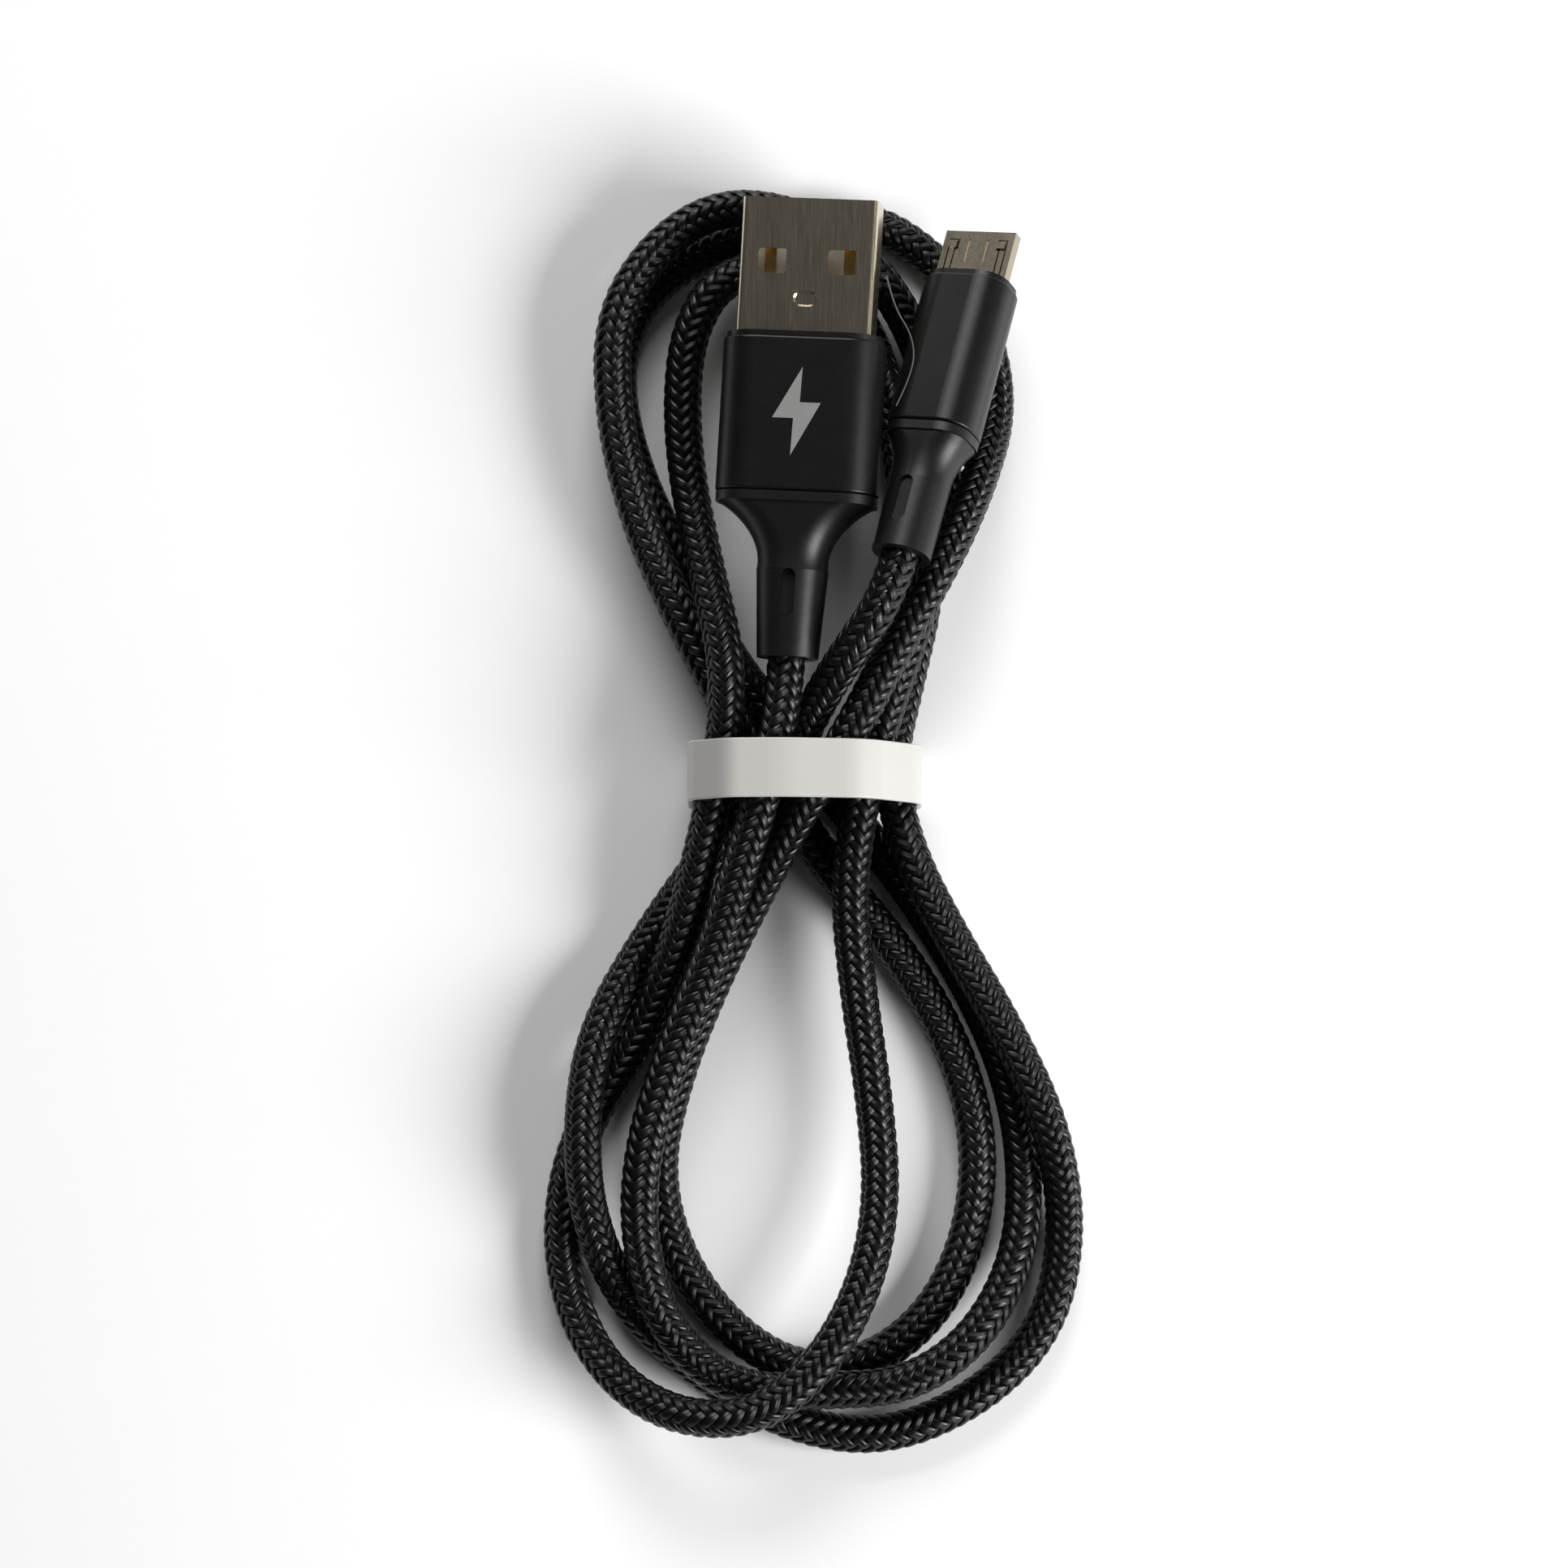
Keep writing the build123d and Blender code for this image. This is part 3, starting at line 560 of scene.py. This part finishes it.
ROUTE_MM = [
    # down through the tie, round the bottom to the right, and back up to the tie
    (-3.9, 2.8, 9.7), (-6.3, -5.0, 8.7), (-8.9, -13.0, 6.6), (-12.2, -21.0, 5.3), (-14.8, -29.0, 5.3),
    (-15.2, -37.2, 5.3), (-12.8, -45.0, 5.3), (-7.0, -50.3, 5.3), (0.8, -50.3, 5.3), (8.4, -49.9, 5.3),
    (14.4, -45.8, 5.3), (18.2, -38.8, 3.4), (18.9, -30.6, 1.8), (17.4, -22.2, 1.8), (13.6, -13.8, 1.8),
    (8.4, -5.6, 1.8), (3.0, 0.8, 2.4),
    # up the left side, over the top and down the right side into the tie
    (-2.2, 7.6, 2.4), (-8.0, 15.4, 1.8), (-12.0, 23.4, 1.8), (-16.0, 31.8, 1.8), (-17.6, 40.2, 1.8),
    (-15.4, 46.6, 1.8), (-10.2, 50.8, 1.8), (-2.6, 53.3, 1.8), (4.6, 54.2, 1.8), (10.8, 50.5, 1.8),
    (15.3, 44.4, 1.8), (16.8, 36.8, 2.2), (14.8, 29.4, 6.7), (11.7, 22.2, 9.3), (7.4, 14.7, 9.2),
    (3.6, 7.2, 9.0), (-1.0, 0.4, 6.6),
    # the smallest bottom loop
    (-5.1, -7.0, 2.6), (-8.9, -14.6, 1.8), (-12.1, -22.8, 1.8), (-13.8, -31.0, 1.8), (-11.8, -38.8, 1.8),
    (-6.9, -45.3, 1.8), (-0.8, -48.7, 1.8), (5.6, -47.6, 1.8), (10.8, -43.4, 1.8), (14.0, -36.8, 1.8),
    (14.9, -28.6, 1.8), (12.7, -20.2, 1.8), (8.3, -12.4, 1.8), (2.4, -5.2, 1.8), (-2.0, 1.0, 2.4),
    # up the left side again, over the first turn, and down the right side
    (-5.2, 5.6, 3.1), (-7.9, 10.8, 5.0), (-11.6, 17.8, 5.4), (-15.4, 26.4, 5.3), (-17.5, 35.4, 5.3),
    (-17.7, 44.2, 5.3), (-13.9, 50.7, 5.3), (-8.2, 54.4, 5.3), (-1.7, 53.8, 5.3), (4.6, 50.0, 5.3),
    (9.2, 43.8, 2.4), (11.3, 36.0, 1.8), (12.0, 27.6, 4.8), (9.7, 18.8, 5.6), (6.8, 10.4, 5.7),
    # across the middle of the lower half and over the bottom loops to the far left
    (4.4, 2.0, 6.0), (3.2, -6.6, 5.4), (4.1, -15.6, 5.3), (5.5, -24.8, 5.3), (6.2, -33.6, 6.4),
    (4.6, -41.6, 8.4), (0.6, -48.6, 9.0), (-4.8, -52.7, 9.0), (-11.2, -52.8, 8.2), (-16.8, -49.8, 5.6),
    (-20.7, -44.0, 2.6), (-22.2, -36.2, 1.8), (-20.6, -27.8, 1.8), (-15.1, -19.2, 2.2), (-11.9, -12.0, 5.0),
    (-9.7, -4.0, 7.3),
    # the innermost top loop
    (-7.8, 4.4, 7.6), (-7.2, 12.8, 9.0), (-9.2, 21.4, 7.2), (-11.0, 30.0, 5.3), (-11.5, 37.2, 5.0),
    (-10.8, 43.2, 5.0), (-8.2, 47.8, 4.8), (-3.2, 49.6, 2.6), (2.0, 48.2, 1.8), (5.4, 43.0, 1.8),
    (7.2, 36.6, 1.8), (8.4, 29.0, 1.8), (10.4, 21.0, 1.8), (8.6, 13.0, 1.8), (6.7, 4.8, 2.4),
    # the outermost bottom loop, back up to the tie and out to the micro-USB plug
    (8.4, -3.2, 5.8), (12.1, -10.4, 5.5), (16.9, -18.4, 5.4), (21.0, -27.0, 5.3), (22.6, -36.0, 2.0),
    (20.8, -44.8, 1.8), (14.6, -51.0, 1.8), (6.2, -54.5, 1.8), (-2.2, -53.1, 1.8), (-9.8, -48.6, 1.8),
    (-16.0, -43.0, 1.9), (-19.6, -35.4, 5.3), (-20.2, -26.8, 5.5), (-18.9, -18.6, 4.3), (-14.3, -10.4, 1.8),
    (-9.6, -3.8, 2.8), (-5.2, 1.2, 6.0), (-1.8, 5.2, 6.4), (0.5, 9.7, 7.6), (3.2, 13.7, 11.6),
]


class Hand(Enum):
    """Which way a yarn winds round the cord."""

    LEFT = -1
    RIGHT = 1


@dataclass
class Cord:
    """The braided cord: its line, its core and the woven cover of flat yarns.

    Each hand has `carriers` yarns; each yarn passes over two of the other hand, then under two.
    Sizes are metres; `in_boot` and `straight` are how far the line runs true inside and outside a boot.
    """

    diameter: float = 0.0034
    length: float = 0.9432
    in_boot: float = 0.005
    straight: float = 0.0035
    line_resolution: int = 24
    lead: float = 0.0092
    carriers: int = 8
    yarns_per_piece: int = 2
    yarn_width: float = 0.00084
    yarn_thickness: float = 0.00040
    relief: float = 0.00015
    dwell: float = 1.35  # over 1, a yarn stays up or down before it crosses
    core_radius: float = 0.00126
    core_sides: int = 14
    core_rings: int = 2400
    yarn_rings: int = 4900
    yarn_sides: int = 8
    line: bpy.types.Object | None = None
    points: list[Vector] = field(default_factory=list)

    def route(self) -> list[Vector]:
        """Return the route's points, from inside one boot to inside the other."""
        first = [A_PLACE.point(0, 0, self.in_boot), A_PLACE.point(0, 0, -self.straight)]
        last = [M_PLACE.point(0, 0, -self.straight), M_PLACE.point(0, 0, self.in_boot)]
        return first + [Vector(p) * MM for p in ROUTE_MM] + last

    def draw_line(self) -> None:
        """Draw the cord's smooth line and keep the points along it."""
        curve = bpy.data.curves.new("cord_line", "CURVE")
        curve.dimensions = "3D"
        curve.resolution_u = self.line_resolution
        spline = curve.splines.new("NURBS")
        route = self.route()
        spline.points.add(len(route) - 1)
        for control, point in zip(spline.points, route):
            control.co = (*point, 1.0)
        spline.order_u = SPLINE_ORDER
        spline.use_endpoint_u = True
        drawn = bpy.data.objects.new("cord_line", curve)
        bpy.context.scene.collection.objects.link(drawn)
        bpy.context.view_layer.update()
        mesh = bpy.data.meshes.new_from_object(drawn)
        bpy.data.objects.remove(drawn)
        self.points = [v.co.copy() for v in mesh.vertices]
        self.line = bpy.data.objects.new("cord_line", mesh)
        bpy.context.scene.collection.objects.link(self.line)
        LOG.info("cord line: %d points", len(self.points))

    @staticmethod
    def _sized_tree(name: str, sizes: dict[str, tuple[str, object]]) -> tuple[Graph, Term, dict[str, str]]:
        """Start a geometry tree with named inputs.

        Args:
            name: The tree's name.
            sizes: For each input, its socket's kind and its value.

        Returns:
            The graph, the group input's geometry, and each input's identifier by name.
        """
        tree = bpy.data.node_groups.new(name, "GeometryNodeTree")
        tree.interface.new_socket("Geometry", in_out="INPUT", socket_type="NodeSocketGeometry")
        tree.interface.new_socket("Geometry", in_out="OUTPUT", socket_type="NodeSocketGeometry")
        keys = {}
        for label, (kind, _) in sizes.items():
            socket = tree.interface.new_socket(label, in_out="INPUT", socket_type=f"NodeSocket{kind}")
            keys[label] = socket.identifier
        graph = Graph(tree)
        source = tree.nodes.new("NodeGroupInput")
        return graph, Term(graph, source.outputs["Geometry"]), keys

    def _grow(
        self, name: str, graph: Graph, result: Term, keys: dict, sizes: dict, material: bpy.types.Material
    ) -> bpy.types.Mesh:
        """Run a tree on the cord's line.

        Args:
            name: The name of the mesh that results.
            graph: The tree, whose last geometry is result.
            result: The geometry that the tree ends in.
            keys: The identifiers of its inputs.
            sizes: The kinds and values of its inputs.
            material: The finish that the tree sets.

        Returns:
            A plain mesh.
        """
        smooth = graph.add("SetShadeSmooth", {}, {0: result})
        real = graph.add("RealizeInstances", {}, {0: smooth})
        dressed = graph.add("SetMaterial", {}, {0: real, "Material": material})
        output = graph.tree.nodes.new("NodeGroupOutput")
        graph.tree.links.new(dressed.socket, output.inputs["Geometry"])
        modifier = self.line.modifiers.new(name, "NODES")
        modifier.node_group = graph.tree
        for label, (_, value) in sizes.items():
            modifier[keys[label]] = value
        depsgraph = bpy.context.evaluated_depsgraph_get()
        mesh = bpy.data.meshes.new_from_object(self.line.evaluated_get(depsgraph))
        mesh.name = name
        self.line.modifiers.remove(modifier)
        return mesh

    def core(self, material: bpy.types.Material) -> bpy.types.Mesh:
        """Make the dark core tube that the yarns lie on.

        Args:
            material: Its finish.

        Returns:
            Its mesh, closed at both ends.
        """
        sizes = {"Rings": ("Int", self.core_rings), "Radius": ("Float", self.core_radius)}
        graph, line, keys = self._sized_tree("core_tube", sizes)
        group = line.socket.node
        rings, radius = (Term(graph, group.outputs[k]) for k in sizes)
        curve = graph.add("MeshToCurve", {}, {0: line})
        even = graph.add("ResampleCurve", {"mode": "COUNT"}, {"Curve": curve, "Count": rings})
        ring = graph.add("CurvePrimitiveCircle", {}, {"Resolution": self.core_sides, "Radius": radius})
        tube = graph.add("CurveToMesh", {}, {"Curve": even, "Profile Curve": ring, "Fill Caps": True})
        return self._grow("cord_core", graph, tube, keys, sizes, material)

    def yarns(self, hand: Hand, start: int, material: bpy.types.Material) -> bpy.types.Mesh:
        """Weave a few neighbouring yarns of one hand along the whole cord.

        Args:
            hand: The way they wind.
            start: The first yarn's number.
            material: Their finish.

        Returns:
            Their mesh, with a UV map along and round each yarn.
        """
        radius = self.diameter / 2 - self.yarn_thickness / 2 - self.relief
        sizes = {
            "Rings": ("Int", self.yarn_rings), "Yarns": ("Int", self.yarns_per_piece),
            "Start": ("Int", start), "Carriers": ("Int", self.carriers), "Hand": ("Float", float(hand.value)),
            "Lead": ("Float", self.lead), "Radius": ("Float", radius), "Relief": ("Float", self.relief),
            "Width": ("Float", self.yarn_width), "Thickness": ("Float", self.yarn_thickness),
        }
        graph, line, keys = self._sized_tree("braid_yarns", sizes)
        group = line.socket.node
        rings, yarns, first, carriers, turn, lead, ring_radius, relief, width, thickness = (
            Term(graph, group.outputs[k]) for k in sizes
        )
        curve = graph.add("MeshToCurve", {}, {0: line})
        even = graph.add("ResampleCurve", {"mode": "COUNT"}, {"Curve": curve, "Count": rings})
        flat = graph.add("SetCurveNormal", {"mode": "MINIMUM_TWIST"}, {"Curve": even})
        middle, normal = self._capture(graph, flat, "VECTOR", graph.add("InputNormal"))
        middle, tangent = self._capture(graph, middle, "VECTOR", graph.add("InputTangent"))
        middle, travel = self._capture(graph, middle, "FLOAT", graph.add("SplineParameter", out="Length"))
        copies = graph.add("DuplicateElements", {"domain": "SPLINE"}, {"Geometry": middle, "Amount": yarns})
        number = graph.sibling(copies, "Duplicate Index") + first
        angle = 2 * math.pi * (turn * travel / lead + number / carriers)
        side = graph.add("VectorMath", {"operation": "CROSS_PRODUCT"}, {0: tangent, 1: normal})
        outward = graph.add("VectorMath", {"operation": "ADD"}, {
            0: graph.add("VectorMath", {"operation": "SCALE"}, {0: normal, "Scale": angle.cos()}),
            1: graph.add("VectorMath", {"operation": "SCALE"}, {0: side, "Scale": angle.sin()}),
        })
        crossing = 2.0 * carriers * travel / lead * turn + 2.0 * number
        wave = (math.pi / 2 * (crossing - 0.5)).cos() * turn
        lift = (wave * self.dwell).clamp(-1.0, 1.0) * relief
        offset = graph.add("VectorMath", {"operation": "SCALE"}, {0: outward, "Scale": ring_radius + lift})
        wound = graph.add("SetPosition", {}, {"Geometry": copies, "Offset": offset})
        faced = graph.add("SetCurveNormal", {"mode": "FREE"}, {"Curve": wound, "Normal": outward})
        oval = graph.add("CurvePrimitiveCircle", {}, {"Resolution": self.yarn_sides, "Radius": 0.5})
        stretch = graph.add("CombineXYZ", {}, {"X": thickness, "Y": width, "Z": 1.0})
        section = graph.add("Transform", {}, {"Geometry": oval, "Scale": stretch})
        section, around = self._capture(graph, section, "FLOAT", graph.add("SplineParameter", out="Factor"))
        ribbon = graph.add(
            "CurveToMesh", {}, {"Curve": faced, "Profile Curve": section, "Fill Caps": True}
        )
        uv = graph.add("CombineXYZ", {}, {"X": travel, "Y": around})
        mapped = graph.add(
            "StoreNamedAttribute", {"data_type": "FLOAT2", "domain": "CORNER"},
            {"Geometry": ribbon, "Name": "UVMap", "Value": uv},
        )
        return self._grow(f"braid_{hand.name.lower()}_{start}", graph, mapped, keys, sizes, material)

    @staticmethod
    def _capture(graph: Graph, geometry: Term, kind: str, value: Term) -> tuple[Term, Term]:
        """Store a value on a geometry's points.

        Args:
            graph: The tree.
            geometry: The geometry to store it on.
            kind: The value's data type.
            value: The value.

        Returns:
            The geometry, and the stored value.
        """
        node = graph.tree.nodes.new("GeometryNodeCaptureAttribute")
        node.domain = "POINT"
        node.capture_items.new(kind, "kept")
        graph.feed(node.inputs[0], geometry)
        graph.feed(node.inputs[1], value)
        return Term(graph, node.outputs[0]), Term(graph, node.outputs[1])

    def build(self, core_finish: bpy.types.Material, yarn_finish: bpy.types.Material) -> bpy.types.Object:
        """Args:
            core_finish: The finish under the yarns.
            yarn_finish: The yarns' finish.

        Returns:
            The cord's core.
        """
        self.draw_line()
        core = place_mesh("cord_core", self.core(core_finish), core_finish)
        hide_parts("braided_cord")
        for hand in Hand:
            for start in range(0, self.carriers, self.yarns_per_piece):
                mesh = self.yarns(hand, start, yarn_finish)
                place_mesh(mesh.name, mesh, yarn_finish)
        bpy.data.objects.remove(self.line)
        A_PLACE.point(0, 0, 0)
        return core


# ---------------------------------------------------------------- making it


def build_finishes() -> dict[str, bpy.types.Material]:
    """Make every finish of the cable.

    Returns:
        The materials, by name.
    """
    nose_a, nose_m = tuple(A_PLACE.nose()), tuple(M_PLACE.nose())
    finishes = [
        Finish("anodised", (0.006, 0.006, 0.0062), 0.36, metallic=0.3, specular=0.45,
               grain_size=0.00009, grain_depth=0.000006),
        Finish("soft_touch", (0.0045, 0.0045, 0.0046), 0.40, specular=0.38,
               grain_size=0.00014, grain_depth=0.000006),
        Finish("bezel_black", (0.005, 0.005, 0.005), 0.34, specular=0.4, grain=Grain.SMOOTH),
        # the USB-A shell: real nickel, with a warm brown tint that is a painted reflection of a warm room
        Finish("nickel_warm_reflection_a", (0.66, 0.58, 0.45), 0.24, metallic=1.0, grain=Grain.DRAWN, mottle=0.04,
               grain_depth=0.0000004, axis=nose_a),
        # the micro-USB shell and latches: a darker copy of the same nickel, painted shade because that shell
        # tilts towards the key light, with the same painted warm reflection tint
        Finish("nickel_shade_and_reflection_m", (0.44, 0.385, 0.30), 0.24, metallic=1.0, grain=Grain.DRAWN, mottle=0.04,
               grain_depth=0.0000004, axis=nose_m),
        Finish("band_white", (0.50, 0.49, 0.465), 0.32, grain=Grain.SMOOTH, grain_size=0.0006, mottle=0.015,
               subsurface=0.12),
        Finish("insulator_white", (0.80, 0.79, 0.75), 0.45, grain=Grain.SMOOTH, mottle=0.03),
        Finish("insulator_black", (0.02, 0.02, 0.02), 0.45, grain=Grain.SMOOTH),
        Finish("gilt", (0.80, 0.52, 0.18), 0.22, metallic=1.0, grain=Grain.SMOOTH, mottle=0.05),
        Finish("tin", (0.66, 0.66, 0.67), 0.3, metallic=1.0, mottle=0.05),
        Finish("mould_grey", (0.10, 0.10, 0.10), 0.5, grain=Grain.SMOOTH),
        Finish("jacket_black", (0.015, 0.015, 0.015), 0.6, grain=Grain.SMOOTH),
        Finish("wire_red", (0.55, 0.02, 0.02), 0.4, grain=Grain.SMOOTH),
        Finish("wire_white", (0.80, 0.80, 0.78), 0.4, grain=Grain.SMOOTH),
        Finish("wire_green", (0.02, 0.30, 0.07), 0.4, grain=Grain.SMOOTH),
        Finish("wire_black", (0.02, 0.02, 0.02), 0.4, grain=Grain.SMOOTH),
        Finish("fibre_grey", (0.10, 0.10, 0.10), 0.5, grain=Grain.SMOOTH),
        Finish("mark_grey", (0.23, 0.23, 0.226), 0.5, grain=Grain.SMOOTH, mottle=0.06),
    ]
    made = {f.name: f.build() for f in finishes}
    made["yarn"] = YarnFinish().build()
    return made


def dress_node(node: str, material: bpy.types.Material) -> None:
    """Give one node of the model its finish.

    Args:
        node: The node's name.
        material: Its finish.
    """
    materials = frame["nodes"][node].data.materials
    materials.clear()
    materials.append(material)
    LOG.info("%s dressed", node)


def dress_plug(prefix: str, finishes: dict[str, bpy.types.Material], shell: str, insulator: str) -> None:
    """Give one plug's nodes their finishes.

    Args:
        prefix: What the names of the plug's nodes start with.
        finishes: Every finish, by name.
        shell: The finish of its metal shell.
        insulator: The finish of its tongue and rear block.
    """
    nodes = {
        "boot": "soft_touch", "sleeve": "anodised", "bezel": "bezel_black", "shell": shell,
        "tongue": insulator, "contacts": "gilt", "rear_block": insulator, "solder_joints": "tin",
        "inner_mould": "mould_grey", "jacket_end": "jacket_black", "crimp_clamp": "tin",
        "wire_red": "wire_red", "wire_white": "wire_white", "wire_green": "wire_green",
        "wire_black": "wire_black",
    }
    for node, finish in nodes.items():
        dress_node(f"{prefix}_{node}", finishes[finish])


def main() -> None:
    """Build the view, the cord and the dressed plugs in order."""
    View().build()
    finishes = build_finishes()
    Cord().build(finishes["jacket_black"], finishes["yarn"])
    dress_plug("usb_a", finishes, "nickel_warm_reflection_a", "insulator_white")
    dress_plug("micro", finishes, "nickel_shade_and_reflection_m", "insulator_black")
    dress_node("micro_latch_left", finishes["nickel_shade_and_reflection_m"])
    dress_node("micro_latch_right", finishes["nickel_shade_and_reflection_m"])
    dress_node("tie_band", finishes["band_white"])
    ChargeMark().build(finishes["mark_grey"])
    MouldFlash().build(finishes["soft_touch"])
    StrayFibre().build(finishes["fibre_grey"])


if __name__ == "__main__":
    main()
